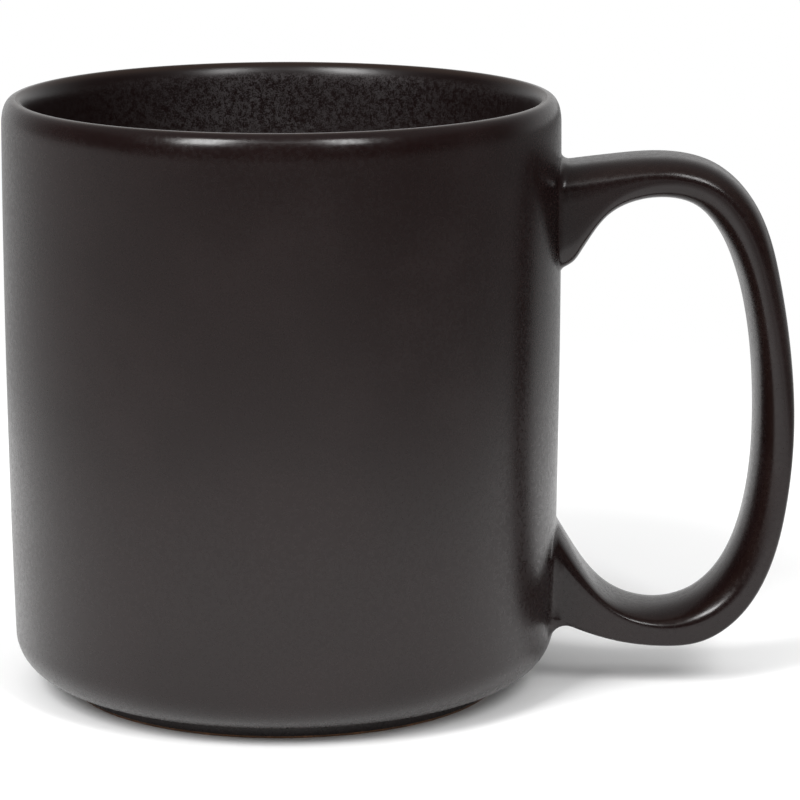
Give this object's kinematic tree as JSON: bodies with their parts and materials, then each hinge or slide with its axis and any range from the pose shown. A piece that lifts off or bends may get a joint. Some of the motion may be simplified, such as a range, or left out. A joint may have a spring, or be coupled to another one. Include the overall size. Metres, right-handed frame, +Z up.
{
  "type": "mug",
  "caption": "Ceramic mug with a cylindrical cup, a rounded heel, a turned foot ring and an ear-shaped strap handle, glazed inside and out.",
  "frame": {"origin": "centre of the foot ring's standing face, on the cup's axis", "axes": "+Z up along the cup's axis, +X from the axis towards the handle, +Y completes the right-handed frame"},
  "size_m": [0.1282, 0.0902, 0.097],
  "materials": {
    "glazed_stoneware": "satin",
    "glazed_slip": "satin"
  },
  "bodies": {
    "root": {"cup_body": "glazed_stoneware", "handle": "glazed_stoneware", "upper_slip_joint": "glazed_slip", "lower_slip_joint": "glazed_slip"}
  },
  "joints": []
}
